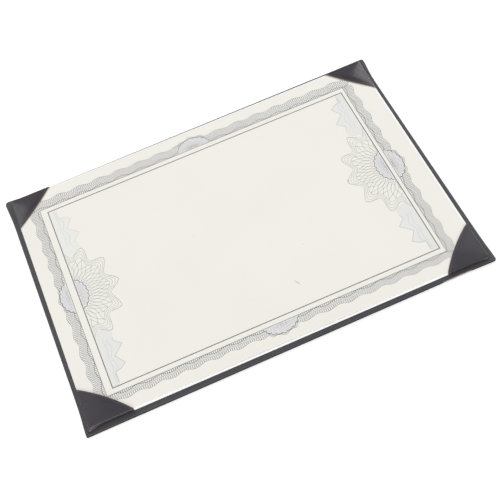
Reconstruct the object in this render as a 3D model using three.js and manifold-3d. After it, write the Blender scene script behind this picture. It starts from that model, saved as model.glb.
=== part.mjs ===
// Certificate frame for one landscape A4 certificate, lying on its back.
// A board covered in leatherette carries a raised white board. Four leatherette
// pockets are folded round the white board's corners, and hold the certificate.
// Millimetres. +X runs along the long side, +Y to the certificate's top edge and
// +Z off the table. The origin is under the middle of the covered board.

import * as THREE from 'three';
import { mergeVertices } from 'three/addons/utils/BufferGeometryUtils.js';
import Module from 'manifold-3d';

const wasm = await Module();
wasm.setup();

// Certificate: a standard A4 sheet of stiff paper
const sheetWidth = 297;
const sheetDepth = 210;
const sheetThickness = 0.25;

// White board: it shows round the sheet by these widths, because the sheet slides in its pockets
const showLeft = 0.2;
const showRight = 1.8;
const showTop = 1.5;
const showBottom = 0.5;
const boardThickness = 2.6;
const boardCornerRadius = 0.6;
const boardEdgeRadius = 0.2;

// Covered board: greyboard in leatherette that is turned in over the front
const marginX = 4;
const marginY = 3.5;
const coreThickness = 1.6;
const wrapThickness = 0.35;
const coreFit = 0.1;
const coverCornerRadius = 1.8;
const coverEdgeRadius = 0.8;
const turnIn = 16;

// Corner pockets: how far each mouth reaches along the long and the short side of the board.
// They were folded by hand, so no two are alike.
const topLeftReachX = 31.5;
const topLeftReachY = 28.5;
const topRightReachX = 29.5;
const topRightReachY = 32;
const bottomLeftReachX = 32;
const bottomLeftReachY = 31;
const bottomRightReachX = 31;
const bottomRightReachY = 31;
const pocketThickness = 0.35;
const pocketFit = 0.15;
const sheetClearance = 0.15;
const foldRadius = 0.5;
const pocketCornerRadius = 1.2;
const mouthBulge = 1.4;
const tabWidth = 12;
const pockets = [
  { name: 'top_left_pocket', sideX: -1, sideY: 1, reachX: topLeftReachX, reachY: topLeftReachY },
  { name: 'top_right_pocket', sideX: 1, sideY: 1, reachX: topRightReachX, reachY: topRightReachY },
  { name: 'bottom_left_pocket', sideX: -1, sideY: -1, reachX: bottomLeftReachX, reachY: bottomLeftReachY },
  { name: 'bottom_right_pocket', sideX: 1, sideY: -1, reachX: bottomRightReachX, reachY: bottomRightReachY },
];

// Adhesive sheet between the two boards
const adhesiveInset = 1.5;
const adhesiveGap = 1;

// Print: flat fields of ink on the sheet, in a traditional guilloche border
const inkThickness = 0.1;
const inkGap = 0.2;
const printShiftX = -0.6;
const printShiftY = -0.85;
const innerRuleMarginX = 23.65;
const innerRuleMarginY = 21.05;
const innerRuleWidth = 0.6;
const ruleGapX = 4.15;
const ruleGapY = 4.3;
const outerRuleWidth = 0.4;
const outerRuleShiftX = -1.2;
const bandWidth = 6.85;
const bandShiftX = -0.3;
const bandShiftY = 0.95;
const waveHeight = 0.85;
const wavePitch = 16.65;
const topCrest = 5.7;
const bottomCrest = 1.2;
const leftCrest = 0.5;
const rightCrest = 2;
const pointsPerWave = 6;
const discReachX = 10.8;
const discReachY = 15;
const discLobes = 20;
const discLobeDepth = 0.08;
const discShiftY = 0.45;
const headReachX = 14;
const headReachY = 12;
const discGap = 0.3;
const fanReachX = 34.4;
const fanReachY = 45;
const fanLobes = 12;
const fanLobeDepth = 0.2;

// Outline of one tail of the side ornament: steps out from the inner rule, and along it past
// the reach of the fan. The last step stops short of the rule's corner by tailEndGap.
const tailEndGap = 0.4;
const tailStart = -9;
const tailSteps = [
  [12, -7],
  [12.5, -1],
  [11, 3.5],
  [16.7, 9],
  [8.9, 16.5],
  [14.2, 24.5],
  [10.2, 27.5],
  [5.4, 28.8],
];
const upperRightTailShift = 1.5;
const lowerLeftTailShift = -1.1;
const tailShifts = {
  upper_left: 0,
  upper_right: upperRightTailShift,
  lower_left: lowerLeftTailShift,
  lower_right: 0,
};
const ends = [['upper', 1], ['lower', -1]];
const flanks = [['left', -1], ['right', 1]];

// Smoothness
const cornerSegments = 3;
const edgeSegments = 3;
const mouthSegments = 6;
const weldDistance = 1e-4;

// Sizes that follow
const boardWidth = sheetWidth + showLeft + showRight;
const boardDepth = sheetDepth + showTop + showBottom;
const coverWidth = boardWidth + 2 * marginX;
const coverDepth = boardDepth + 2 * marginY;
const coverTop = coreThickness + 2 * wrapThickness;
const boardBottom = coverTop + pocketThickness;
const boardTop = boardBottom + boardThickness;
const sheetTop = boardTop + sheetThickness;
const pocketInsideTop = sheetTop + inkThickness + sheetClearance;
const sheetX = (showLeft - showRight) / 2;
const sheetY = (showBottom - showTop) / 2;
const printX = sheetX + printShiftX;
const printY = sheetY + printShiftY;
const outerRuleX = printX + outerRuleShiftX;
const ornamentX = (printX + outerRuleX) / 2;
const bandY = printY + bandShiftY;
const discY = printY + discShiftY;
const innerRuleHalfX = sheetWidth / 2 - innerRuleMarginX;
const innerRuleHalfY = sheetDepth / 2 - innerRuleMarginY;
const outerRuleHalfX = innerRuleHalfX + ruleGapX;
const outerRuleHalfY = innerRuleHalfY + ruleGapY;

const leatherette = { color: 0x4d4c4e, roughness: 0.55, metalness: 0 };
const smoothLeatherette = { color: 0x454047, roughness: 0.45, metalness: 0 };
const whiteCard = { color: 0xf7f7f5, roughness: 0.8, metalness: 0 };
const greyboard = { color: 0x9a948a, roughness: 0.95, metalness: 0 };
const adhesive = { color: 0xd9d4c4, roughness: 0.6, metalness: 0 };
const creamPaper = { color: 0xefede4, roughness: 0.75, metalness: 0 };
const paleInk = { color: 0xdfe1df, roughness: 0.8, metalness: 0 };
const greyInk = { color: 0xc5c8ca, roughness: 0.8, metalness: 0 };
const darkInk = { color: 0x77736f, roughness: 0.8, metalness: 0 };

const certificateFrame = new THREE.Group();

function addPiece(name, geometry, look) {
  const mesh = new THREE.Mesh(geometry, new THREE.MeshStandardMaterial(look));
  mesh.name = name;
  certificateFrame.add(mesh);
}

// Closed three.js geometry to a solid that can be cut, and back
function solidOf(geometry) {
  const bare = geometry.clone();
  bare.deleteAttribute('normal');
  bare.deleteAttribute('uv');
  const merged = mergeVertices(bare, weldDistance);
  return new wasm.Manifold(new wasm.Mesh({
    numProp: 3,
    vertProperties: merged.attributes.position.array,
    triVerts: Uint32Array.from(merged.index.array),
  }));
}

function geometryOf(solid) {
  const mesh = solid.getMesh();
  const geometry = new THREE.BufferGeometry();
  geometry.setAttribute('position', new THREE.BufferAttribute(mesh.vertProperties, 3));
  geometry.setIndex(new THREE.BufferAttribute(mesh.triVerts, 1));
  geometry.computeVertexNormals();
  return geometry;
}

// Rectangle about a centre, with round corners
function rectangle(halfX, halfY, radius, centreX = 0, centreY = 0) {
  const shape = new THREE.Shape();
  const quarter = Math.PI / 2;
  if (radius <= 0) {
    shape.moveTo(centreX - halfX, centreY - halfY);
    shape.lineTo(centreX + halfX, centreY - halfY);
    shape.lineTo(centreX + halfX, centreY + halfY);
    shape.lineTo(centreX - halfX, centreY + halfY);
    return shape;
  }
  const arcX = halfX - radius;
  const arcY = halfY - radius;
  shape.absarc(centreX + arcX, centreY - arcY, radius, -quarter, 0);
  shape.absarc(centreX + arcX, centreY + arcY, radius, 0, quarter);
  shape.absarc(centreX - arcX, centreY + arcY, radius, quarter, 2 * quarter);
  shape.absarc(centreX - arcX, centreY - arcY, radius, 2 * quarter, 3 * quarter);
  return shape;
}

// Plate of an outline, with its long edges rounded over by edgeRadius
function plate(shape, bottom, thickness, edgeRadius = 0, curveSegments = cornerSegments) {
  const radius = Math.min(edgeRadius, thickness / 2 - weldDistance);
  const geometry = new THREE.ExtrudeGeometry(shape, {
    depth: thickness - 2 * radius,
    curveSegments,
    bevelEnabled: radius > 0,
    bevelThickness: radius,
    bevelSize: radius,
    bevelOffset: -radius,
    bevelSegments: edgeSegments,
  });
  geometry.translate(0, 0, bottom + radius);
  return geometry;
}

// Corner of the board that a pocket covers, as a plan outline. Its long edge is the pocket's
// mouth, which bows towards the middle of the sheet. grow widens it all along the mouth.
function cornerOutline({ sideX, sideY, reachX, reachY }, grow = 0) {
  const beyond = marginX + marginY;
  const edgeX = sideX * boardWidth / 2;
  const edgeY = sideY * boardDepth / 2;
  const mouthX = edgeX - sideX * (reachX + grow);
  const mouthY = edgeY - sideY * (reachY + grow);
  const bow = 2 * mouthBulge / Math.SQRT2;
  const shape = new THREE.Shape();
  shape.moveTo(edgeX + sideX * beyond, edgeY + sideY * beyond);
  shape.lineTo(mouthX, edgeY + sideY * beyond);
  shape.lineTo(mouthX, edgeY);
  shape.quadraticCurveTo(
    (mouthX + edgeX) / 2 - sideX * bow,
    (mouthY + edgeY) / 2 - sideY * bow,
    edgeX,
    mouthY,
  );
  shape.lineTo(edgeX + sideX * beyond, mouthY);
  return shape;
}

// Covered board
function addCover() {
  const coreRadius = coverEdgeRadius - wrapThickness;
  const inside = rectangle(
    coverWidth / 2 - wrapThickness,
    coverDepth / 2 - wrapThickness,
    coverCornerRadius - wrapThickness,
  );
  const core = rectangle(
    coverWidth / 2 - wrapThickness - coreFit,
    coverDepth / 2 - wrapThickness - coreFit,
    coverCornerRadius - wrapThickness - coreFit,
  );
  const outside = rectangle(coverWidth / 2, coverDepth / 2, coverCornerRadius);
  const window = rectangle(coverWidth / 2 - turnIn, coverDepth / 2 - turnIn, 0);
  const wrap = solidOf(plate(outside, 0, coverTop, coverEdgeRadius))
    .subtract(solidOf(plate(inside, wrapThickness, coreThickness, coreRadius)))
    .subtract(solidOf(plate(window, coverTop / 2, coverTop)));
  addPiece('cover_core', plate(core, wrapThickness, coreThickness, coreRadius), greyboard);
  addPiece('cover_wrap', geometryOf(wrap), leatherette);
}

// Adhesive sheet, cut away where the pockets' tabs lie
function addAdhesive() {
  const sheet = rectangle(boardWidth / 2 - adhesiveInset, boardDepth / 2 - adhesiveInset, 0);
  let solid = solidOf(plate(sheet, coverTop, pocketThickness));
  for (const pocket of pockets) {
    const corner = plate(cornerOutline(pocket, adhesiveGap), coverTop - pocketThickness, 3 * pocketThickness);
    solid = solid.subtract(solidOf(corner));
  }
  addPiece('adhesive_sheet', geometryOf(solid), adhesive);
}

function addBoard() {
  const outline = rectangle(boardWidth / 2, boardDepth / 2, boardCornerRadius);
  addPiece('inner_board', plate(outline, boardBottom, boardThickness, boardEdgeRadius), whiteCard);
}

// Corner pockets: a triangle over the sheet, two sides down the board's edges and
// two tabs under the board, all folded from one piece of leatherette
function addPockets() {
  const fullHeight = pocketInsideTop + pocketThickness - coverTop;
  const outside = solidOf(plate(
    rectangle(
      boardWidth / 2 + pocketFit + pocketThickness,
      boardDepth / 2 + pocketFit + pocketThickness,
      pocketCornerRadius,
    ),
    coverTop,
    fullHeight,
    foldRadius,
  ));
  const inside = solidOf(plate(
    rectangle(boardWidth / 2 + pocketFit, boardDepth / 2 + pocketFit, pocketCornerRadius - pocketThickness),
    boardBottom,
    pocketInsideTop - boardBottom,
  ));
  const betweenTabs = solidOf(plate(
    rectangle(boardWidth / 2 - tabWidth, boardDepth / 2 - tabWidth, 0),
    coverTop - pocketThickness,
    pocketThickness * 2 + boardThickness / 2,
  ));
  const folded = outside.subtract(inside).subtract(betweenTabs);
  for (const pocket of pockets) {
    const corner = plate(cornerOutline(pocket), 0, 2 * (coverTop + fullHeight), 0, mouthSegments);
    addPiece(pocket.name, geometryOf(folded.intersect(solidOf(corner))), smoothLeatherette);
  }
}

function addCertificate() {
  const outline = rectangle(sheetWidth / 2, sheetDepth / 2, 0, sheetX, sheetY);
  addPiece('certificate_sheet', plate(outline, boardTop, sheetThickness), creamPaper);
}

// Field of ink of one outline
function ink(shape) {
  return solidOf(plate(shape, sheetTop, inkThickness));
}

function inkRectangle(halfX, halfY, centreX = printX, centreY = printY) {
  return ink(rectangle(halfX, halfY, 0, centreX, centreY));
}

// Ellipse with a lobed edge: its radius falls by depth between two lobes
function lobedEllipse(centreX, centreY, reachX, reachY, lobes, depth, pointsPerLobe) {
  const points = [];
  const count = lobes * pointsPerLobe;
  for (let i = 0; i < count; i += 1) {
    const turn = 2 * Math.PI * i / count;
    const radius = 1 - depth * Math.abs(Math.sin(lobes * turn / 2));
    points.push(new THREE.Vector2(
      centreX + reachX * radius * Math.cos(turn),
      centreY + reachY * radius * Math.sin(turn),
    ));
  }
  return new THREE.Shape(points);
}

// Outer edge of the border band: a rectangle whose sides are waves of one pitch. Each side
// has a crest at its own distance from its middle.
function wavyRectangle(halfX, halfY, centreX, centreY) {
  const sides = [
    { from: [-1, -1], to: [1, -1], crest: bottomCrest },
    { from: [1, -1], to: [1, 1], crest: rightCrest },
    { from: [1, 1], to: [-1, 1], crest: topCrest },
    { from: [-1, 1], to: [-1, -1], crest: leftCrest },
  ];
  const points = [];
  for (const { from, to, crest } of sides) {
    const outX = (from[0] + to[0]) / 2;
    const outY = (from[1] + to[1]) / 2;
    const half = outX === 0 ? halfX - waveHeight : halfY - waveHeight;
    const steps = Math.round(2 * half * pointsPerWave / wavePitch);
    for (let i = 0; i < steps; i += 1) {
      const x = THREE.MathUtils.lerp(from[0], to[0], i / steps) * half;
      const y = THREE.MathUtils.lerp(from[1], to[1], i / steps) * half;
      const along = outX === 0 ? x : y;
      const out = waveHeight * Math.cos(2 * Math.PI * (along - crest) / wavePitch);
      points.push(new THREE.Vector2(
        centreX + (outX === 0 ? x : outX * (halfX + out)),
        centreY + (outY === 0 ? y : outY * (halfY + out)),
      ));
    }
  }
  return new THREE.Shape(points);
}

// Border: two thin rules, and outside them a wavy band that four medallions break into four
function addBorder() {
  const innerRule = inkRectangle(innerRuleHalfX, innerRuleHalfY)
    .subtract(inkRectangle(innerRuleHalfX - innerRuleWidth, innerRuleHalfY - innerRuleWidth));
  const outerRule = inkRectangle(outerRuleHalfX, outerRuleHalfY, outerRuleX)
    .subtract(inkRectangle(outerRuleHalfX - outerRuleWidth, outerRuleHalfY - outerRuleWidth, outerRuleX));
  const clear = inkRectangle(outerRuleHalfX + inkGap, outerRuleHalfY + inkGap, outerRuleX);
  const middleX = (innerRuleHalfX + outerRuleHalfX) / 2;
  const middleY = (innerRuleHalfY + outerRuleHalfY) / 2;
  const medallions = [
    { name: 'top_medallion', x: ornamentX, y: bandY + middleY, reachX: headReachX, reachY: headReachY },
    { name: 'bottom_medallion', x: ornamentX, y: bandY - middleY, reachX: headReachX, reachY: headReachY },
    { name: 'left_medallion', x: ornamentX - middleX, y: discY, reachX: discReachX, reachY: discReachY },
    { name: 'right_medallion', x: ornamentX + middleX, y: discY, reachX: discReachX, reachY: discReachY },
  ];
  let band = ink(wavyRectangle(
    outerRuleHalfX + bandWidth,
    outerRuleHalfY + bandWidth,
    outerRuleX + bandShiftX,
    bandY,
  )).subtract(clear);
  for (const { name, x, y, reachX, reachY } of medallions) {
    const disc = ink(lobedEllipse(x, y, reachX, reachY, discLobes, discLobeDepth, 2));
    const room = ink(lobedEllipse(x, y, reachX + discGap, reachY + discGap, discLobes, 0, 2));
    band = band.subtract(room);
    addPiece(name, geometryOf(disc.subtract(clear)), greyInk);
  }
  for (const [end, endSide] of ends) {
    for (const [flank, flankSide] of flanks) {
      const quarter = inkRectangle(
        sheetWidth / 2,
        sheetDepth / 2,
        ornamentX + flankSide * sheetWidth / 2,
        printY + endSide * sheetDepth / 2,
      );
      addPiece(`${end}_${flank}_band`, geometryOf(band.intersect(quarter)), paleInk);
    }
  }
  addPiece('outer_rule', geometryOf(outerRule), darkInk);
  addPiece('inner_rule', geometryOf(innerRule), darkInk);
}

// Side ornament: half a rosette against the inner rule, a lobed fan round it and
// a pale tail above and below the fan
function addSideOrnament(name, side) {
  const ruleX = printX + side * (innerRuleHalfX - innerRuleWidth - inkGap);
  const centreX = ornamentX + side * (innerRuleHalfX + outerRuleHalfX) / 2;
  const within = inkRectangle(innerRuleHalfX - innerRuleWidth - inkGap, innerRuleHalfY - innerRuleWidth - inkGap);
  const rosette = ink(lobedEllipse(centreX, discY, discReachX, discReachY, discLobes, discLobeDepth, 2));
  const room = ink(lobedEllipse(centreX, discY, discReachX + discGap, discReachY + discGap, discLobes, 0, 2));
  const fan = ink(lobedEllipse(centreX, printY, fanReachX, fanReachY, fanLobes, fanLobeDepth, 6));
  const fanRoom = ink(lobedEllipse(
    centreX,
    printY,
    fanReachX + discGap,
    fanReachY + discGap,
    fanLobes,
    fanLobeDepth,
    6,
  ));
  addPiece(`${name}_rosette`, geometryOf(rosette.intersect(within)), greyInk);
  addPiece(`${name}_fan`, geometryOf(fan.subtract(room).intersect(within)), paleInk);
  for (const [end, endSide] of ends) {
    const tip = innerRuleHalfY - innerRuleWidth - tailEndGap - fanReachY;
    const steps = tailSteps.map(([out, along]) => [out, along + tailShifts[`${end}_${name}`]]);
    const outline = [[0, tailStart], ...steps, [tailSteps.at(-1)[0], tip], [0, tip]];
    const tail = ink(new THREE.Shape(outline.map(([out, along]) => new THREE.Vector2(
      ruleX - side * out,
      printY + endSide * (fanReachY + along),
    ))));
    addPiece(`${end}_${name}_tail`, geometryOf(tail.subtract(fanRoom)), paleInk);
  }
}

addCover();
addAdhesive();
addBoard();
addPockets();
addCertificate();
addBorder();
flanks.forEach(([flank, side]) => addSideOrnament(flank, side));

export default certificateFrame;
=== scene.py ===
"""Certificate frame: a leatherette board with four corner pockets for one A4 certificate."""

import bpy
import numpy as np
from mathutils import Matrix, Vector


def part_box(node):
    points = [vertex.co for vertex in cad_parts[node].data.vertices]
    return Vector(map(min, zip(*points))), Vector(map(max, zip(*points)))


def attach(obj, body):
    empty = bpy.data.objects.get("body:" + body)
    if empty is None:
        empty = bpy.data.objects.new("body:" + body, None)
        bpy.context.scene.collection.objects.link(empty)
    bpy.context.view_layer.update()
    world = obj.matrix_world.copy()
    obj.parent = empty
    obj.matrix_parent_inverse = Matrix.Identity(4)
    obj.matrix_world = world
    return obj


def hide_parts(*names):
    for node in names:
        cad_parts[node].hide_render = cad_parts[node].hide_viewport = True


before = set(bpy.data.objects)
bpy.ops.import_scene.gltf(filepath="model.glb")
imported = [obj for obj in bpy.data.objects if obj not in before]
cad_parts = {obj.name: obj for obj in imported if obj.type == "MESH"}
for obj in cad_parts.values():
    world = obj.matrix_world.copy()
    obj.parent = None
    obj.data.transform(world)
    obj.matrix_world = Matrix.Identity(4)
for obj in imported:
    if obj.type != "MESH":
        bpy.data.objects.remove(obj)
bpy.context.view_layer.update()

# Greyboard core: the sheet of grey millboard inside the cover, glued to the leatherette that
# wraps it. Its recycled pulp is a mottled grey with short paler fibres.


class Value:
    """One output of a node, used in an expression. Each operator adds a Math node."""

    def __init__(self, finish, socket):
        self.finish = finish
        self.socket = socket

    def maths(self, operation, first, second=0.0):
        return self.finish.node("ShaderNodeMath", {0: first, 1: second}, operation=operation)

    def __add__(self, other):
        return self.maths("ADD", self, other)

    def __radd__(self, other):
        return self.maths("ADD", other, self)

    def __sub__(self, other):
        return self.maths("SUBTRACT", self, other)

    def __rsub__(self, other):
        return self.maths("SUBTRACT", other, self)

    def __mul__(self, other):
        return self.maths("MULTIPLY", self, other)

    def __abs__(self):
        return self.maths("ABSOLUTE", self)

    def between(self, low, high):
        """0 at low and beyond it, 1 at high and beyond it, with a smooth step between them."""
        ends = {"Value": self, "From Min": low, "From Max": high}
        return self.finish.node("ShaderNodeMapRange", ends, interpolation_type="SMOOTHSTEP")


class Finish:
    """A material made of nodes. node() adds one and gives one of its outputs as a Value."""

    def __init__(self, name):
        self.material = bpy.data.materials.new(name)
        self.material.use_nodes = True
        self.tree = self.material.node_tree
        self.tree.nodes.clear()
        self.place = self.node("ShaderNodeTexCoord", output="Object")

    def node(self, kind, inputs=None, output=0, **settings):
        added = self.tree.nodes.new(kind)
        for name, setting in settings.items():
            setattr(added, name, setting)
        for socket, value in (inputs or {}).items():
            if isinstance(value, Value):
                self.tree.links.new(value.socket, added.inputs[socket])
            else:
                added.inputs[socket].default_value = value
        return Value(self, added.outputs[output])

    def along(self, axis):
        """Object coordinate along one axis, in metres."""
        return self.node("ShaderNodeSeparateXYZ", {0: self.place}, output=axis)

    def mottle(self, size, detail=2.0, stretch=(1, 1, 1)):
        """Noise from 0 to 1 whose lumps are about size metres across."""
        place = self.node("ShaderNodeMapping", {"Vector": self.place, "Scale": stretch})
        inputs = {"Vector": place, "Scale": 1 / size, "Detail": detail}
        return self.node("ShaderNodeTexNoise", inputs)

    def cells(self, size):
        """Distance from the middle of the nearest of many cells about size metres across."""
        return self.node("ShaderNodeTexVoronoi", {"Vector": self.place, "Scale": 1 / size})

    def mix(self, share, first, second):
        """Colour that goes from first to second as share goes from 0 to 1."""
        return self.node("ShaderNodeMix", {0: share, 6: first, 7: second}, output=2, data_type="RGBA")

    def surface(self, colour, roughness, height=None, depth=0.0, **constants):
        """Principled surface. height, from 0 to 1, stands for depth metres of relief."""
        inputs = {"Base Color": colour, "Roughness": roughness}
        inputs.update({name.replace("_", " "): value for name, value in constants.items()})
        if height is not None:
            inputs["Normal"] = self.node("ShaderNodeBump", {"Distance": depth, "Height": height})
        shader = self.node("ShaderNodeBsdfPrincipled", inputs)
        output = self.tree.nodes.new("ShaderNodeOutputMaterial")
        self.tree.links.new(shader.socket, output.inputs["Surface"])


def dress(finish, *nodes):
    """Gives kept solids their finish."""
    for node in nodes:
        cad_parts[node].material_slots[0].material = finish.material


grey_pulp = (0.30, 0.285, 0.26, 1)
pale_fibre = (0.42, 0.40, 0.37, 1)
greyboard = Finish("greyboard")
pulp = greyboard.mottle(0.0012, detail=6.0, stretch=(1, 0.4, 1))
greyboard.surface(greyboard.mix(pulp, grey_pulp, pale_fibre), 0.95, pulp, 0.00008)
dress(greyboard, "cover_core")

# Cover: one piece of charcoal leatherette glued round the greyboard. It is turned in over the
# front, mitred at the corners, and its embossed grain is finer than a millimetre.
cover_half_x = 0.1535
cover_half_y = 0.1095
cover_thickness = 0.0023
cover_edge = 0.0005
cover_turn = 0.004
wrap_thickness = 0.00035
turn_in = 0.016
mitre_width = 0.00022
mitre_depth = 0.00014
front_depth = 0.0002
corner_swell_reach = 0.014
least_radius = 0.0002
side_steps = 56
corner_steps = 8
cover_corners = [
    {"side": (1, -1), "radius": 0.0014, "swell": (0.0007, 0.0005)},
    {"side": (1, 1), "radius": 0.0020, "swell": (0.0018, 0.0001)},
    {"side": (-1, 1), "radius": 0.0028, "swell": (0.0013, 0.0018)},
    {"side": (-1, -1), "radius": 0.0010, "swell": (0.0009, 0.0001)},
]


def grid_faces(rows, columns, around=False):
    """Quads between points numbered row by row. around joins the last column to the first."""
    row, column = np.mgrid[0:rows - 1, 0:columns - 1 + around]
    after = (column + 1) % columns
    corners = [row * columns + column, row * columns + after]
    corners += [(row + 1) * columns + after, (row + 1) * columns + column]
    return np.stack(corners, -1).reshape(-1, 4)


def add_piece(name, points, faces, finish, slot, replaces=(), smooth=True):
    """Closed mesh of the points and a list of arrays of faces. Faces that point in are turned:
    they do where the sum of their signed volumes about the origin is below nought."""
    mesh = bpy.data.meshes.new(name)
    mesh.from_pydata(points.tolist(), [], [face for group in faces for face in group.tolist()])
    corners = np.concatenate([np.stack([group[:, 0], group[:, i], group[:, i + 1]], -1)
                              for group in faces for i in range(1, group.shape[1] - 1)])
    first, second, third = (points[corners[:, i]] for i in range(3))
    if np.einsum("ij,ij->i", first, np.cross(second, third)).sum() < 0:
        mesh.flip_normals()
    mesh.polygons.foreach_set("use_smooth", np.full(len(mesh.polygons), smooth))
    mesh.materials.append(finish.material)
    mesh.update()
    piece = bpy.data.objects.new(name, mesh)
    bpy.context.scene.collection.objects.link(piece)
    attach(piece, "root")
    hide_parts(*replaces)
    return piece


def cover_outline(inset):
    """The cover's rectangle, inset by so much, anticlockwise. Along each side the points go as
    half a cosine wave, so they crowd at its ends. Each corner is a quarter circle."""
    along = (1 - np.cos(np.pi * np.linspace(0, 1, side_steps + 1)[1:-1])) / 2
    turn = np.linspace(0, np.pi / 2, corner_steps + 1)
    arcs = []
    for quarter, corner in enumerate(cover_corners):
        radius = max(corner["radius"] - inset, least_radius)
        centre = np.array(corner["side"]) * (np.array([cover_half_x, cover_half_y]) - inset - radius)
        angle = turn + (quarter - 1) * np.pi / 2
        arcs.append(centre + radius * np.stack([np.cos(angle), np.sin(angle)], -1))
    points = []
    for arc, after in zip(arcs, arcs[1:] + arcs[:1]):
        points += [arc, arc[-1] + along[:, None] * (after[0] - arc[-1])]
    return np.concatenate(points)


def wrap_profile():
    """(inset from the board's outline, height) from the middle of the back, round the edge and
    over the front to the end of the turn-in, then back along the inside. The outer edges are
    quarter circles of cover_edge, and the inner ones are smaller by the wrap's thickness."""
    turn = np.linspace(0, np.pi / 2, 7)
    inner = cover_edge - wrap_thickness
    top = cover_thickness
    flat = np.array([turn_in, 0.008, 0.0035, 0.0015])
    outside = [
        (flat, 0 * flat),
        (cover_edge - cover_edge * np.sin(turn), cover_edge - cover_edge * np.cos(turn)),
        (cover_edge - cover_edge * np.cos(turn), top - cover_edge + cover_edge * np.sin(turn)),
        (flat[::-1], top + 0 * flat),
    ]
    under = top - wrap_thickness
    inside = [
        (flat, under + 0 * flat),
        (cover_edge - inner * np.sin(turn), under - inner + inner * np.cos(turn)),
        (cover_edge - inner * np.cos(turn), wrap_thickness + inner - inner * np.sin(turn)),
        (flat[::-1], wrap_thickness + 0 * flat),
    ]
    return np.concatenate([np.stack(part, -1) for part in outside + inside])


def cover_shape():
    """The profile carried round the rounded rectangle. Its two ends run on to the middle of the
    board as smaller copies of their outline, and close there. A mitre seam sinks into the front
    along each corner's diagonal, as a bell curve across it. The folds under each corner swell
    the sides outwards, as a bell curve of the distance from the corner. The whole cover is
    turned a little under the white board."""
    rings = []
    for inset, height in wrap_profile():
        outline = cover_outline(inset)
        rings.append(np.column_stack([outline, np.full(len(outline), height)]))
    shrinking = np.array([0.1, 0.25, 0.4, 0.55, 0.7, 0.85, 0.95])
    back = [rings[0] * (share, share, 1) for share in shrinking]
    inner_back = [rings[-1] * (share, share, 1) for share in shrinking[::-1]]
    rings = np.array(back + rings + inner_back)
    across = np.abs((cover_half_x - np.abs(rings[..., 0])) - (cover_half_y - np.abs(rings[..., 1])))
    front = rings[..., 2] > cover_thickness - front_depth
    rings[..., 2] -= front * mitre_depth * np.exp(-(across / mitre_width) ** 2)
    flat = rings[..., :2]
    swell = np.zeros_like(flat)
    for corner in cover_corners:
        side = np.array(corner["side"])
        distance = np.linalg.norm(side * (cover_half_x, cover_half_y) - flat, axis=-1)
        near = np.exp(-(distance / corner_swell_reach) ** 2)
        swell += near[..., None] * side * corner["swell"]
    flat += swell
    rings[..., 0], rings[..., 1] = (
        flat[..., 0] - cover_turn * flat[..., 1],
        flat[..., 1] + cover_turn * flat[..., 0],
    )
    count = rings.shape[1]
    points = np.concatenate([rings.reshape(-1, 3), [[0, 0, 0], [0, 0, wrap_thickness]]])
    first = np.arange(count)
    after = np.roll(first, -1)
    last = (len(rings) - 1) * count
    pole = len(points) - 2
    caps = [np.stack([after, first, np.full(count, pole)], -1)]
    caps.append(np.stack([last + first, last + after, np.full(count, pole + 1)], -1))
    return points, [grid_faces(len(rings), count, around=True), *caps]


def leatherette(name, base, bright, grain, depth, roughness, shine=0.5,
                edge=None, side_height=None):
    """Embossed vinyl: cells about grain metres across with sunk joints between them, broken up
    by finer noise. Colour and gloss drift a little over larger patches. edge names an attribute
    that gives the distance from a cut edge, in millimetres, where the brown backing shows.
    Below side_height, as far as the back, the colour is painted much darker: painted shade on the side
    faces, which the light from above reaches less. shine is the strength of its reflection."""
    finish = Finish(name)
    cell = finish.cells(grain)
    fine = finish.mottle(grain * 0.45, detail=3.0)
    patch = finish.mottle(0.018, detail=3.0)
    relief = 1 - cell * 0.9 + fine * 0.5
    tone = (patch * 0.55 + fine * 0.3 + relief * 0.15).between(0.2, 0.85)
    colour = finish.mix(tone, base, bright)
    if edge:
        distance = finish.node("ShaderNodeAttribute", output="Fac", attribute_name=edge)
        pressed = distance.between(1.7, 1.1)
        colour = finish.mix(pressed * 0.35, colour, tuple(min(1, 2.2 * part) for part in bright))
        colour = finish.mix(distance.between(0.45, 0.25), colour, (0.16, 0.095, 0.06, 1))
    # Painted shade: the side faces below side_height are darkened to stand in for the shade there, as
    # the light from above reaches them less.
    if side_height:
        height = finish.along("Z")
        painted_side_shade = height.between(side_height, side_height - 0.0003) * height.between(0.0001, 0.0004)
        colour = finish.mix(painted_side_shade, colour, tuple(0.12 * part for part in base[:3]) + (1,))
    gloss = roughness + (patch - 0.5) * 0.12
    finish.surface(colour, gloss, relief, depth, Specular_IOR_Level=shine)
    return finish


# The cover's side faces get painted shade below side_height.
cover_leatherette = leatherette("leatherette", (0.064, 0.062, 0.067, 1), (0.088, 0.086, 0.092, 1),
                                grain=0.0007, depth=0.00009, roughness=0.52, shine=0.2,
                                side_height=cover_thickness - 0.0001)
add_piece("cover", *cover_shape(), cover_leatherette, "leatherette", replaces=["cover_wrap"])

# Adhesive sheet: a thin pale double-sided film that holds the white board on the cover. It is
# cut away at the corners, where the pockets' tabs lie.
adhesive = Finish("adhesive")
bubbles = adhesive.mottle(0.002, detail=2.0)
film = adhesive.mix(bubbles, (0.55, 0.52, 0.44, 1), (0.66, 0.63, 0.55, 1))
adhesive.surface(film, 0.45 + bubbles * 0.2, bubbles, 0.00003)
dress(adhesive, "adhesive_sheet")

# White board: smooth coated card, laminated in plies, glued on the cover. It carries the
# certificate, and its cut edge is the bright strip along the certificate's lower side.
white_card = Finish("white_card")
plies = abs(white_card.along("Z") * 1500 - 5).between(0.0, 4.0)
fleck = white_card.mottle(0.0006, detail=2.0)
card = white_card.mix(fleck * 0.5 + plies * 0.3, (0.93, 0.93, 0.925, 1), (0.87, 0.87, 0.865, 1))
white_card.surface(card, 0.55, fleck, 0.00001)
dress(white_card, "inner_board")

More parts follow.
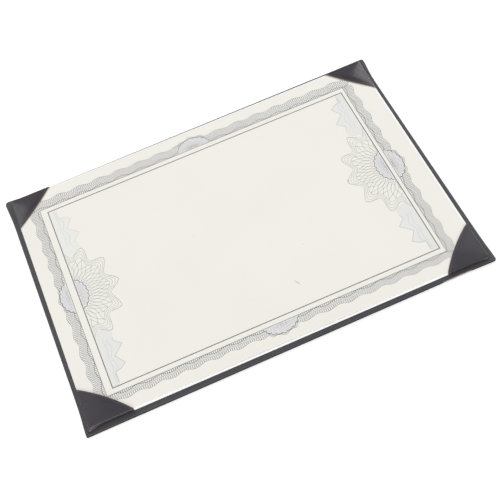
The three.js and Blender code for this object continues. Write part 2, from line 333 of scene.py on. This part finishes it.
# Certificate: one A4 sheet of stiff cream paper. It lies loose in the four pockets, so its
# free edges lift a little from the board. It has a few specks and a faint scratch.
sheet_low, sheet_high = (np.array(corner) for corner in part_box("certificate_sheet"))
lower_lift = 0.0004
upper_lift = 0.0002
side_lift = 0.00012
lifted_border = 0.008
free_half_x = 0.122
free_half_y = 0.07


def shell(outer, inner):
    """Closed skin of two grids of points with the same rows and columns: the quads of both, and
    a strip between their rims."""
    rows, columns = outer.shape[:2]
    skin = grid_faces(rows, columns)
    number = np.arange(rows * columns).reshape(rows, columns)
    rim = np.concatenate([number[0, :-1], number[:-1, -1], number[-1, :0:-1], number[:0:-1, 0]])
    after = np.roll(rim, -1)
    count = rows * columns
    strip = np.stack([after, rim, rim + count, after + count], -1)
    points = np.concatenate([outer.reshape(-1, 3), inner.reshape(-1, 3)])
    return points, [np.concatenate([skin, skin[:, ::-1] + count, strip])]


def smooth_step(value):
    """0 below 0, 1 above 1, and 3 times the square less twice the cube between them."""
    value = np.clip(value, 0, 1)
    return value * value * (3 - 2 * value)


def sheet_shape():
    """Flat sheet that lifts in a smooth step over the border of its free edges, most in the
    middle of each side and not at all at the pockets: a squared cosine along the side."""
    across = np.linspace(0, 1, 91)
    across_x = sheet_low[0] + (sheet_high[0] - sheet_low[0]) * (1 - np.cos(np.pi * across)) / 2
    across_y = sheet_low[1] + (sheet_high[1] - sheet_low[1]) * (1 - np.cos(np.pi * across)) / 2
    y, x = np.meshgrid(across_y, across_x, indexing="ij")
    free_x = np.cos(np.clip(x / free_half_x, -1, 1) * np.pi / 2) ** 2
    free_y = np.cos(np.clip(y / free_half_y, -1, 1) * np.pi / 2) ** 2
    lift = lower_lift * free_x * smooth_step((sheet_low[1] + lifted_border - y) / lifted_border)
    lift += upper_lift * free_x * smooth_step((y - sheet_high[1] + lifted_border) / lifted_border)
    lift += side_lift * free_y * smooth_step((sheet_low[0] + lifted_border - x) / lifted_border)
    lift += side_lift * free_y * smooth_step((x - sheet_high[0] + lifted_border) / lifted_border)
    top = np.stack([x, y, sheet_high[2] + lift], -1)
    under = np.stack([x, y, sheet_low[2] + lift], -1)
    return shell(top, under)


def mark(finish, x, y, reach_x, reach_y, turn=0.0):
    """1 inside a soft ellipse about a point and 0 outside it. turn is in radians."""
    centred = finish.node("ShaderNodeMapping", {
        "Vector": finish.place,
        "Location": (x, y, 0),
        "Rotation": (0, 0, turn),
        "Scale": (reach_x, reach_y, 1),
    }, vector_type="TEXTURE")
    flat = finish.node("ShaderNodeVectorMath", {0: centred, 1: (1, 1, 0)}, operation="MULTIPLY")
    distance = finish.node("ShaderNodeVectorMath", {0: flat}, output="Value", operation="LENGTH")
    return 1 - distance.between(0.5, 1.5)


cream_paper = Finish("cream_paper")
fibres = cream_paper.mottle(0.0005, detail=4.0)
shade = cream_paper.mottle(0.06, detail=2.0)
cream = cream_paper.mix(shade * 0.6 + fibres * 0.4, (0.80, 0.778, 0.718, 1), (0.86, 0.840, 0.782, 1))
speck = mark(cream_paper, 0.0914, -0.0005, 0.0007, 0.0011, turn=0.2)
faint = mark(cream_paper, 0.0379, -0.0367, 0.0005, 0.0005)
faint = faint + mark(cream_paper, -0.0317, 0.0082, 0.0005, 0.0005)
faint = faint + mark(cream_paper, -0.0116, -0.0426, 0.0005, 0.0005)
scratch = mark(cream_paper, 0.0213, -0.0647, 0.00045, 0.0027, turn=0.49)
cream = cream_paper.mix(faint * 0.25, cream, (0.45, 0.42, 0.38, 1))
cream = cream_paper.mix(scratch * 0.62, cream, (0.42, 0.40, 0.37, 1))
cream = cream_paper.mix(speck * 0.85, cream, (0.20, 0.19, 0.18, 1))
cream_paper.surface(cream, 0.72, fibres, 0.000015)
add_piece("certificate", *sheet_shape(), cream_paper, "cream_paper", replaces=["certificate_sheet"])

# Print: the certificate's border in pale inks. Its flat fields lie on the paper, from pale grey
# in the wavy band and the tails to cream in the fans, with two thin dark rules.


def printed(name, ink, thin):
    """Ink that is a little thinner in places, where more of the paper shows."""
    finish = Finish(name)
    cover = finish.mottle(0.0009, detail=3.0)
    finish.surface(finish.mix(cover, ink, thin), 0.75)
    return finish


corners = ["upper_left", "upper_right", "lower_left", "lower_right"]
band_ink = printed("pale_ink", (0.83, 0.82, 0.78, 1), (0.85, 0.835, 0.79, 1))
tail_ink = printed("tail_ink", (0.735, 0.74, 0.725, 1), (0.77, 0.77, 0.74, 1))
faint_tail_ink = printed("faint_tail_ink", (0.77, 0.77, 0.745, 1), (0.80, 0.795, 0.755, 1))
fan_ink = printed("fan_ink", (0.80, 0.785, 0.73, 1), (0.84, 0.82, 0.765, 1))
disc_ink = printed("grey_ink", (0.76, 0.755, 0.765, 1), (0.80, 0.79, 0.795, 1))
rule_ink = printed("dark_ink", (0.13, 0.12, 0.11, 1), (0.20, 0.19, 0.18, 1))
outer_rule_ink = printed("outer_rule_ink", (0.28, 0.27, 0.26, 1), (0.36, 0.35, 0.34, 1))
dress(band_ink, *[f"{corner}_band" for corner in corners])
dress(tail_ink, *[f"{corner}_tail" for corner in corners[1:]])
dress(faint_tail_ink, "upper_left_tail")
dress(fan_ink, "left_fan", "right_fan")
dress(disc_ink, "top_medallion", "bottom_medallion", "left_medallion", "right_medallion")
dress(disc_ink, "left_rosette", "right_rosette")
dress(rule_ink, "inner_rule")
dress(outer_rule_ink, "outer_rule")

# Engine-turned lines of the band: a fine grey line that goes to and fro between the outer rule
# and the band's wavy edge, as close hatching. It stops at the four medallions.
inner_rule_low, inner_rule_high = (np.array(corner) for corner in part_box("inner_rule"))
outer_rule_low, outer_rule_high = (np.array(corner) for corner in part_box("outer_rule"))
inner_centre = (inner_rule_low + inner_rule_high) / 2
outer_centre = (outer_rule_low + outer_rule_high) / 2
inner_half = (inner_rule_high - inner_rule_low) / 2
outer_half = (outer_rule_high - outer_rule_low) / 2
ornament_x = (inner_centre[0] + outer_centre[0]) / 2
ornament_y = inner_centre[1]
disc_y = ornament_y + 0.00045
band_y = ornament_y + 0.00095
medallion_x = (inner_half[0] + outer_half[0]) / 2
medallion_y = (inner_half[1] + outer_half[1]) / 2
line_top = outer_rule_high[2] + 0.00002
line_foot = sheet_high[2] - 0.00001
wave_height = 0.00085
wave_pitch = 0.01665
hatch_pitch = 0.0015
band_line = 0.00024
arc_height = 0.0009
arc_line = 0.0003
edge_line = 0.0002
line_clearance = 0.0001
medallion_overlap = 0.0002
head_reach = (0.014, 0.012)
disc_reach = (0.0108, 0.015)


def ribbon(path, width):
    """Closed strip along a flat path: its top is width across, and its two sides meet under it
    in the paper. A path that ends where it starts is joined there, and others are capped."""
    joined = np.allclose(path[0], path[-1])
    path = path[:-1] if joined else path
    if joined:
        along = np.roll(path, -1, 0) - np.roll(path, 1, 0)
    else:
        along = np.gradient(path, axis=0)
    along /= np.linalg.norm(along, axis=1, keepdims=True)
    side = np.stack([-along[:, 1], along[:, 0]], -1) * width / 2
    count = len(path)
    left = np.column_stack([path + side, np.full(count, line_top)])
    right = np.column_stack([path - side, np.full(count, line_top)])
    foot = np.column_stack([path, np.full(count, line_foot)])
    points = np.stack([left, right, foot], 1).reshape(-1, 3)
    faces = grid_faces(count + joined, 3, around=True) % (3 * count)
    caps = np.array([[0, 2, 1], [3 * count - 3, 3 * count - 2, 3 * count - 1]])
    return points, faces, caps[:0] if joined else caps


def add_lines(name, paths, width, finish):
    """One piece of many ribbons."""
    points, quads, triangles, count = [], [], [], 0
    for path in paths:
        strip, faces, caps = ribbon(path, width)
        points.append(strip)
        quads.append(faces + count)
        triangles.append(caps + count)
        count += len(strip)
    faces = [np.concatenate(quads), np.concatenate(triangles)]
    add_piece(name, np.concatenate(points), faces, finish, "grey_ink", smooth=False)


def stretches(path, shown):
    """The parts of a path whose points are all shown."""
    edges = np.flatnonzero(np.diff(np.concatenate([[False], shown, [False]]).astype(int)))
    return [path[start:end] for start, end in edges.reshape(-1, 2) if end - start > 2]


def off_medallions(path):
    """True where a path is clear of the four medallions."""
    shown = np.full(len(path), True)
    heads = [(ornament_x, band_y + medallion_y), (ornament_x, band_y - medallion_y)]
    discs = [(ornament_x - medallion_x, disc_y), (ornament_x + medallion_x, disc_y)]
    for centres, reach in ((heads, head_reach), (discs, disc_reach)):
        for centre in centres:
            across = (path - centre) / (np.array(reach) - medallion_overlap)
            shown &= (across ** 2).sum(1) > 1
    return shown


def side_lines(outward, half_length, half_depth, band_width, crest):
    """Hatching, outer edge and inner arcs along one side, as lists of paths. The hatching's
    distance from the outer rule is the band's width times half of 1 plus a cosine. The band's
    width is itself a longer cosine wave, as the arcs beside the rule are."""

    def lines(step, distance):
        along = np.arange(-half_length, half_length, step)
        wave = np.cos(2 * np.pi * (along - crest) / wave_pitch)
        out = distance(along, wave) + half_depth + line_clearance
        sideways = np.abs(np.array(outward[::-1]))
        path = np.array(outward) * out[:, None] + sideways * along[:, None] + outer_centre[:2]
        return stretches(path, off_medallions(path))

    def hatching(along, wave):
        share = (1 + np.cos(2 * np.pi * along / hatch_pitch)) / 2
        return (band_width + wave_height * wave - 2 * line_clearance) * share

    return [
        lines(hatch_pitch / 12, hatching),
        lines(wave_pitch / 24, lambda along, wave: band_width + wave_height * wave),
        lines(wave_pitch / 24, lambda along, wave: arc_height * (1 + wave)),
    ]


line_ink = printed("line_ink", (0.14, 0.15, 0.17, 1), (0.23, 0.24, 0.26, 1))
long_half = outer_half[0] + 0.0066
sides = [
    side_lines((0, 1), long_half, outer_half[1], 0.0078, 0.0057),
    side_lines((0, -1), long_half, outer_half[1], 0.0058, 0.0012),
    side_lines((-1, 0), outer_half[1], outer_half[0], 0.0070, 0.0005),
    side_lines((1, 0), outer_half[1], outer_half[0], 0.0064, 0.0020),
]
hatching, edges, arcs = ([part for side in sides for part in side[kind]] for kind in range(3))
add_lines("band_lines", hatching, band_line, line_ink)
add_lines("band_edge_lines", edges, edge_line, line_ink)
add_lines("band_arc_lines", arcs, arc_line, line_ink)

# Medallions and rosettes: closer lines that weave round four ellipses. Outside the rules they
# are whole medallions with small pendants, and inside them half rosettes at the two sides.
disc_strands = 6
disc_waves = 9
disc_line = 0.0002
disc_edge_line = 0.0005
scallops = 20
scallop_depth = 0.08
rule_clearance = 0.0004
inner_rule_width = 0.0006


def ellipse_path(centre, reach, angle, radius):
    """Points at radius, a share of the reach, and at angle round an ellipse."""
    return np.stack([
        centre[0] + reach[0] * radius * np.cos(angle),
        centre[1] + reach[1] * radius * np.sin(angle),
    ], -1)


def ellipse_weave(centre, reach):
    """Strands whose radius is a cosine wave between a fifth and nearly all of the reach, each a
    step later in phase."""
    angle = np.linspace(0, 2 * np.pi, 24 * disc_waves + 1)
    phase = 2 * np.pi * np.arange(disc_strands) / disc_strands
    return [ellipse_path(centre, reach, angle, 0.55 + 0.35 * np.cos(disc_waves * angle + start))
            for start in phase]


def disc_edge(centre, reach):
    """Scalloped outline: bumps of the size of a cosine, on a slightly smaller ellipse."""
    angle = np.linspace(0, 2 * np.pi, 10 * scallops + 1)
    bump = scallop_depth * np.abs(np.cos(scallops * angle / 2))
    return [ellipse_path(centre, reach, angle, 0.92 + bump)]


def pendants(centre, reach, facing):
    """Three loops that hang out of a medallion about the angle that it faces: the size of a
    cosine, raised to a power so that the loops are narrow."""
    turn = np.linspace(-0.94, 0.94, 121)
    return [ellipse_path(centre, reach, facing + turn, 0.95 + size * np.abs(np.cos(5 * turn)) ** 1.5)
            for size in (0.19, 0.12)]


def outside_rule(path):
    """True beyond the outer rule."""
    across = np.abs(path - outer_centre[:2]) - outer_half[:2]
    return across.max(1) > rule_clearance


def inside_rule(path):
    """True within the inner rule."""
    across = inner_half[:2] - inner_rule_width - np.abs(path - inner_centre[:2])
    return across.min(1) > rule_clearance


def shown_parts(paths, shown):
    """The parts of all the paths where shown, a function of a path, is true."""
    return [part for path in paths for part in stretches(path, shown(path))]


weave_ink = printed("weave_ink", (0.52, 0.52, 0.53, 1), (0.60, 0.60, 0.61, 1))
pendant_ink = printed("pendant_ink", (0.34, 0.35, 0.36, 1), (0.44, 0.45, 0.45, 1))
for name, centre, reach, facing in (
    ("top", (ornament_x, band_y + medallion_y), head_reach, np.pi / 2),
    ("bottom", (ornament_x, band_y - medallion_y), head_reach, -np.pi / 2),
    ("left", (ornament_x - medallion_x, disc_y), disc_reach, np.pi),
    ("right", (ornament_x + medallion_x, disc_y), disc_reach, 0),
):
    weave = ellipse_weave(centre, reach)
    edge = disc_edge(centre, reach)
    drops = pendants(centre, reach, facing)
    drawn = [
        ("medallion_weave", weave, outside_rule, disc_line, weave_ink),
        ("medallion_edge", edge, outside_rule, disc_edge_line, line_ink),
        ("medallion_pendants", drops, outside_rule, disc_line, pendant_ink),
    ]
    if name in ("left", "right"):
        drawn.append(("rosette_weave", weave, inside_rule, disc_line, weave_ink))
        drawn.append(("rosette_edge", edge, inside_rule, disc_edge_line, line_ink))
    for part, paths, shown, width, ink in drawn:
        add_lines(f"{name}_{part}", shown_parts(paths, shown), width, ink)

# Fans: round each rosette pairs of fine lines weave outwards, cross, and close in long cells,
# inside four lobed outlines that draw together between the lobes.
fan_reach = (0.0344, 0.0452)
rosette_reach = (0.0112, 0.0154)
fan_lobes = 12
fan_cells = 42
fan_line = 0.00023
fan_start = 1.02
fan_end_gap = 0.01
fan_lag = 0.175
outlines = [(0.80, 0.115), (0.865, 0.15), (0.93, 0.18), (1.0, 0.215)]


def lobed(angle, size, depth):
    """Radius that falls by depth between two lobes: half of 1 less a cosine, with the lobes'
    tips drawn out by a power."""
    return size - depth * ((1 - np.cos(fan_lobes * angle)) / 2) ** 0.8


def fan_paths(centre):
    """Pairs of strands: along each, the share of the way from the rosette to a lobed limit goes
    from 0 to 1, while the angle swings to one side and back as a sine, so that the pair makes a
    long cell, and neighbouring pairs make the next row. The wider ellipse's angle lags by a sine
    of twice the first, so that the way out is square to the rosette's edge."""
    share = np.linspace(0, 1, 17)
    swing = np.pi / fan_cells * np.sin(1.5 * np.pi * share)
    paths = []
    for middle in np.arange(fan_cells) * 2 * np.pi / fan_cells:
        for angle in (middle + swing, middle - swing):
            lagged = angle - fan_lag * np.sin(2 * angle)
            near = ellipse_path(centre, rosette_reach, angle, fan_start)
            limit = lobed(lagged, *outlines[0]) - fan_end_gap
            far = ellipse_path(centre, fan_reach, lagged, limit)
            paths.append(near + share[:, None] * (far - near))
    angle = np.linspace(0, 2 * np.pi, 24 * fan_lobes + 1)
    edges = [ellipse_path(centre, fan_reach, angle, lobed(angle, *outline)) for outline in outlines]
    return paths + edges[:1], edges[1:]


fan_line_ink = printed("fan_line_ink", (0.28, 0.29, 0.29, 1), (0.38, 0.39, 0.38, 1))
for name, side in (("left", -1), ("right", 1)):
    weave, edges = fan_paths((ornament_x + side * medallion_x, ornament_y))
    add_lines(f"{name}_fan_weave", shown_parts(weave, inside_rule), fan_line, fan_line_ink)
    add_lines(f"{name}_fan_edges", shown_parts(edges, inside_rule), fan_line, pendant_ink)

# Tails: above and below each fan a pale scalloped shape runs along the inner rule to its
# corner, edged with a darker line and filled with a faint nest of finer ones.
tail_line = 0.00026
tail_start = 0.0012
tail_end_gap = 0.0006
tail_rule_gap = 0.0008
tail_middle = 0.011
tail_edge_share = 0.985
nest_shares = (0.62, 0.40)
tail_knots = np.array([38, 44, 48.5, 54, 61.5, 69.5, 72.5, 73.8, 81.9]) / 1000
tail_shifts = {"upper_left": 0, "upper_right": 0.0015, "lower_left": -0.0011, "lower_right": 0}
tail_widths = np.array([12, 12.5, 11, 16.7, 8.9, 14.2, 10.2, 5.4, 5.4]) / 1000


def tail_paths(side, end, shift):
    """Line whose distance from the inner rule goes straight from knot to knot of a list, and
    copies of it nearer the rule, each flatter than the last."""
    along = np.linspace(tail_knots[1] + tail_start, tail_knots[-1] - tail_end_gap, 150)
    out = np.interp(along - shift, tail_knots, tail_widths)
    rule = inner_centre[0] + side * (inner_half[0] - tail_rule_gap)
    paths = []
    for share in (tail_edge_share, *nest_shares):
        nearer = share * (out * share + (1 - share) * tail_middle)
        x = rule - side * np.minimum(nearer, out * tail_edge_share)
        paths.append(np.stack([x, inner_centre[1] + end * along], -1))
    return paths


faint_line_ink = printed("faint_line_ink", (0.56, 0.565, 0.565, 1), (0.64, 0.645, 0.64, 1))
tail_line_ink = printed("tail_line_ink", (0.36, 0.37, 0.38, 1), (0.46, 0.47, 0.47, 1))
for end_name, end in (("upper", 1), ("lower", -1)):
    for side_name, side in (("left", -1), ("right", 1)):
        edge, *nest = tail_paths(side, end, tail_shifts[f"{end_name}_{side_name}"])
        name = f"{end_name}_{side_name}_tail"
        edge_ink = faint_line_ink if side < 0 < end else tail_line_ink
        add_lines(f"{name}_edge", [edge], tail_line, edge_ink)
        add_lines(f"{name}_nest", nest, tail_line, faint_line_ink)

# Corner pockets: each one piece of smoother leatherette, folded by hand over a corner of the
# white board and glued under it. The mouth bows to the middle, and its cut edge shows the
# brown backing, with a narrow pressed border beside it.
board_half_x = 0.1495
board_half_y = 0.1060
pocket_foot = 0.0023
pocket_top = 0.0061
pocket_thickness = 0.00035
side_gap = 0.0005
pocket_fold = 0.0006
pocket_corner = 0.0014
tab_edge = 0.012
border_width = 0.0013
border_slope = 0.0004
border_rise = 0.00012
border_fade = 0.004
tab_parts = (0, 0.35, 0.7)
fold_steps = 6


def pocket_outline(reach_x, reach_y, out):
    """The board's outline at a corner, out metres outside it, from one end of the mouth round
    the corner to the other. x and y run inwards from the board's corner. Points go as half a
    sine wave along each straight, so they crowd at the corner, which is a quarter circle."""
    along = np.sin(np.linspace(0, np.pi / 2, 41))
    radius = pocket_corner + out - side_gap
    turn = np.linspace(0, np.pi / 2, 11)[1:-1]
    bend = radius - out
    first_x = reach_x + (bend - reach_x) * along
    second_y = (reach_y + (bend - reach_y) * along)[::-1]
    arc = bend - radius * np.stack([np.sin(turn), np.cos(turn)], -1)
    first = np.stack([first_x, 0 * first_x - out], -1)
    second = np.stack([0 * second_y - out, second_y], -1)
    return np.concatenate([first, arc, second])


def mouth_curve(reach_x, reach_y, bow, share):
    """Quadratic curve from one end of the mouth to the other, drawn to the middle of the sheet."""
    ends = np.array([[reach_x, 0], [0, reach_y]])
    middle = ends.mean(0) + 2 * bow / np.sqrt(2)
    share = share[:, None]
    return (1 - share) ** 2 * ends[0] + 2 * share * (1 - share) * middle + share ** 2 * ends[1]


def pocket_skin(reach_x, reach_y, inset, bow, flare, ridge):
    """One side of the folded leatherette, inset from its outer face. Rows follow the board's
    outline. Along a row it comes from under the board, up its side and over the fold, then in
    a straight line to the mouth. It rises like a hipped roof, by ridge times the distance from
    the nearer edge of the board, and falls again by the eighth power of the way to the mouth.
    A small step raises the pressed border. At the corner the side leans outwards to its foot,
    as a bell curve of the distance from the corner."""
    outline = pocket_outline(reach_x, reach_y, side_gap - inset)
    rows = len(outline)
    share = np.linspace(0, 1, rows)
    mouth = mouth_curve(reach_x, reach_y, bow, share)
    far = np.array([[reach_x, tab_edge], [tab_edge, tab_edge], [tab_edge, reach_y]])
    tab = np.stack([np.interp(share, [0, 0.5, 1], far[:, i]) for i in (0, 1)], -1)
    bottom = pocket_foot + inset
    top = pocket_top - inset
    fold = max(pocket_fold - inset, 0.0001)
    blend = smooth_step((outline[:, 1] - outline[:, 0]) / (2 * pocket_corner) + 0.5)
    square = np.stack([blend, 1 - blend], -1)
    square /= np.linalg.norm(square, axis=1, keepdims=True)

    def ring(flat, height):
        return np.column_stack([flat, np.broadcast_to(height, rows)])

    turn = np.linspace(0, np.pi / 2, fold_steps)
    columns = [ring(tab + (outline + square * fold - tab) * part, bottom) for part in tab_parts]
    columns += [ring(outline + square * fold * (1 - np.sin(angle)), bottom + fold * (1 - np.cos(angle)))
                for angle in turn]
    columns += [ring(outline, height) for height in np.linspace(bottom + fold, top - fold, 6)[1:-1]]
    columns += [ring(outline + square * fold * (1 - np.cos(angle)), top - fold * (1 - np.sin(angle)))
                for angle in turn]
    start = outline + square * fold
    span = mouth - start
    reach = np.linalg.norm(span, axis=1)
    for part in ((1 - np.cos(np.pi * np.linspace(0, 1, 33))) / 2)[1:]:
        left = reach * (1 - part)
        place = np.maximum(start + span * part, 0.0001)
        rise = ridge * (place ** -4.0).sum(1) ** -0.25 * (1 - part ** 8)
        border = 1 - smooth_step((left - border_width) / border_slope)
        rise += border_rise * border * np.minimum(reach / border_fade, 1)
        columns.append(ring(start + span * part, top + rise))
    grid = np.array(columns)
    flare_out, flare_reach = flare
    near = np.exp(-((outline + side_gap) ** 2).sum(1) / flare_reach ** 2)
    lean = np.clip((top - grid[..., 2]) / (top - bottom), 0, 1) ** 1.3
    under = len(tab_parts)
    lean[:under] = 0
    lean[under:under + fold_steps] *= np.linspace(0, 1, fold_steps)[:, None]
    grid[..., :2] -= (flare_out / np.sqrt(2) * near * lean)[..., None]
    return grid


def pocket_shape(side_x, side_y, reach_x, reach_y, bow, flare, ridge):
    """The outer and the inner face as one closed skin, in the corner that side_x and side_y say."""
    skins = []
    for inset in (0, pocket_thickness):
        grid = pocket_skin(reach_x, reach_y, inset, bow, flare, ridge)
        skins.append(np.stack([
            side_x * (board_half_x - grid[..., 0]),
            side_y * (board_half_y - grid[..., 1]),
            grid[..., 2],
        ], -1))
    return shell(*skins)


def mouth_distance(points, side_x, side_y, reach_x, reach_y, bow):
    """Millimetres from points to the pocket's mouth, seen from above. The mouth is a straight
    line from end to end, pushed out by a parabola for its bow."""
    inwards = np.abs(np.array([side_x * board_half_x, side_y * board_half_y]) - points[:, :2])
    ends = np.array([reach_x, reach_y])
    share = np.clip(inwards[:, 1] / ends[1], 0, 1)
    bulge = 4 * np.sqrt(2) * bow / ends.mean() * share * (1 - share)
    from_corner = ends.prod() / np.linalg.norm(ends)
    return np.abs(1 + bulge - (inwards / ends).sum(1)) * from_corner * 1000


smooth_leatherette = leatherette("smooth_leatherette", (0.021, 0.017, 0.024, 1),
                                 (0.032, 0.026, 0.036, 1), grain=0.0005, depth=0.00004,
                                 roughness=0.35, edge="from_mouth")
pockets = [
    ("top_left_pocket", -1, 1, 0.0315, 0.0285, 0.0009, (0.0006, 0.006), 0.075),
    ("top_right_pocket", 1, 1, 0.0295, 0.0320, 0.0008, (0.0006, 0.006), 0.10),
    ("bottom_left_pocket", -1, -1, 0.0320, 0.0310, 0.0018, (0.0034, 0.006), 0.02),
    ("bottom_right_pocket", 1, -1, 0.0310, 0.0310, 0.0018, (0.0016, 0.006), 0.02),
]
for node, side_x, side_y, reach_x, reach_y, bow, flare, ridge in pockets:
    points, faces = pocket_shape(side_x, side_y, reach_x, reach_y, bow, flare, ridge)
    pocket = add_piece(f"folded_{node}", points, faces, smooth_leatherette, "smooth_leatherette",
                       replaces=[node])
    from_mouth = pocket.data.attributes.new("from_mouth", "FLOAT", "POINT")
    distance = mouth_distance(points, side_x, side_y, reach_x, reach_y, bow)
    from_mouth.data.foreach_set("value", distance)

# Studio: a pale table, faintly lit from below, with wide soft lights above, before and beside
# it. The camera is at the photograph's angle, a little left of the middle and in front.
floor_reach = 3.0
floor_drop = 0.0002
floor_mesh = bpy.data.meshes.new("floor")
floor_points = [(-floor_reach, -floor_reach, -floor_drop), (floor_reach, -floor_reach, -floor_drop),
                (floor_reach, floor_reach, -floor_drop), (-floor_reach, floor_reach, -floor_drop)]
floor_mesh.from_pydata(floor_points, [], [(0, 1, 2, 3)])
floor_finish = Finish("floor")
floor_finish.surface((0.97, 0.97, 0.97, 1), 0.9, Emission_Color=(1, 1, 1, 1), Emission_Strength=0.35)
floor_mesh.materials.append(floor_finish.material)
floor = bpy.data.objects.new("floor", floor_mesh)
bpy.context.scene.collection.objects.link(floor)


def add_light(name, place, aim, size, watts):
    """Square area light at place that faces aim."""
    lamp = bpy.data.lights.new(name, "AREA")
    lamp.size = size
    lamp.energy = watts
    light = bpy.data.objects.new(name, lamp)
    light.location = place
    direction = Vector(aim) - Vector(place)
    light.rotation_euler = direction.to_track_quat("-Z", "Y").to_euler()
    bpy.context.scene.collection.objects.link(light)


add_light("overhead_softbox", (-0.2, -0.45, 1.7), (0, 0, 0), 1.3, 5.5)
add_light("front_softbox", (-0.6, -1.9, 0.55), (0, 0, 0), 1.0, 24)
add_light("left_softbox", (-0.9, 1.3, 1.4), (0, 0, 0), 0.5, 10)
add_light("right_softbox", (1.35, 1.3, 1.25), (0, 0, 0), 0.5, 18)
world = bpy.data.worlds.new("studio")
world.use_nodes = True
world.node_tree.nodes["Background"].inputs["Color"].default_value = (1, 1, 1, 1)
world.node_tree.nodes["Background"].inputs["Strength"].default_value = 0.42
bpy.context.scene.world = world
bpy.context.scene.view_settings.view_transform = "Standard"

camera_place = (-0.07554, -0.46497, 0.65067)
camera_turn = np.radians([33.9133, 8.2897, -22.0083])
lens = 77.58
camera = bpy.data.objects.new("camera", bpy.data.cameras.new("camera"))
camera.data.lens = lens
camera.data.sensor_width = 36
camera.data.clip_start = 0.01
camera.data.clip_end = 20
camera.location = camera_place
camera.rotation_euler = camera_turn
bpy.context.scene.collection.objects.link(camera)
bpy.context.scene.camera = camera
